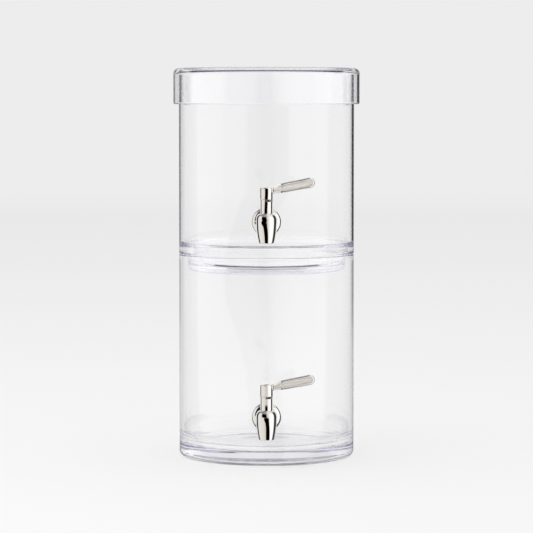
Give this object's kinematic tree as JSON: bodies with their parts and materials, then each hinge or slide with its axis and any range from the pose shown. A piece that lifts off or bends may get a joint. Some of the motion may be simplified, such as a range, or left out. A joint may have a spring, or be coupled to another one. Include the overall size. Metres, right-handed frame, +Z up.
{
  "type": "glass beverage dispenser",
  "caption": "Stacked two-tier glass drink dispenser: round clear jars, the upper plugged into the lower, a loose glass cap lid, and a polished quarter-turn spigot on each tier.",
  "frame": {"origin": "middle of the lower jar's foot, on the table", "axes": "+Z up along the jars' axis, spigots facing -Y, closed levers pointing to +X"},
  "size_m": [0.2134, 0.2415, 0.4452],
  "materials": {
    "glass": "clear, polished",
    "polished_metal": "polished nickel plate",
    "steel": "bright turned steel",
    "silicone": "clear-white silicone",
    "rubber_seal": "black rubber",
    "seat_plastic": "white moulded seat liner"
  },
  "bodies": {
    "base": {"lower_jar": "glass", "lower_spigot_body": "polished_metal", "lower_escutcheon": "polished_metal", "lower_outer_seal": "silicone", "lower_inner_seal": "silicone", "lower_flat_washer": "steel", "lower_lock_nut": "steel", "lower_valve_sleeve": "seat_plastic", "lower_retaining_ring": "steel"},
    "upper_tier": {"upper_jar": "glass", "upper_spigot_body": "polished_metal", "upper_escutcheon": "polished_metal", "upper_outer_seal": "silicone", "upper_inner_seal": "silicone", "upper_flat_washer": "steel", "upper_lock_nut": "steel", "upper_valve_sleeve": "seat_plastic", "upper_retaining_ring": "steel"},
    "cap": {"lid": "glass"},
    "lower_valve": {"lower_valve_plug": "steel", "lower_o_rings": "rubber_seal", "lower_lever": "polished_metal", "lower_lever_screw": "steel", "lower_stop_pin": "steel"},
    "upper_valve": {"upper_valve_plug": "steel", "upper_o_rings": "rubber_seal", "upper_lever": "polished_metal", "upper_lever_screw": "steel", "upper_stop_pin": "steel"}
  },
  "joints": [
    {"name": "upper_jar_lift", "type": "slide", "parent": "base", "child": "upper_tier", "axis": [0, 0, 1], "range_m": [0, 0.15]},
    {"name": "lid_lift", "type": "slide", "parent": "upper_tier", "child": "cap", "axis": [0, 0, 1], "range_m": [0, 0.12]},
    {"name": "lower_tap_turn", "type": "hinge", "parent": "base", "child": "lower_valve", "pos_m": [0, -0.123, 0.056], "axis": [0, 0, -1], "range_deg": [0, 90]},
    {"name": "upper_tap_turn", "type": "hinge", "parent": "upper_tier", "child": "upper_valve", "pos_m": [0, -0.123, 0.2738], "axis": [0, 0, -1], "range_deg": [0, 90]}
  ]
}
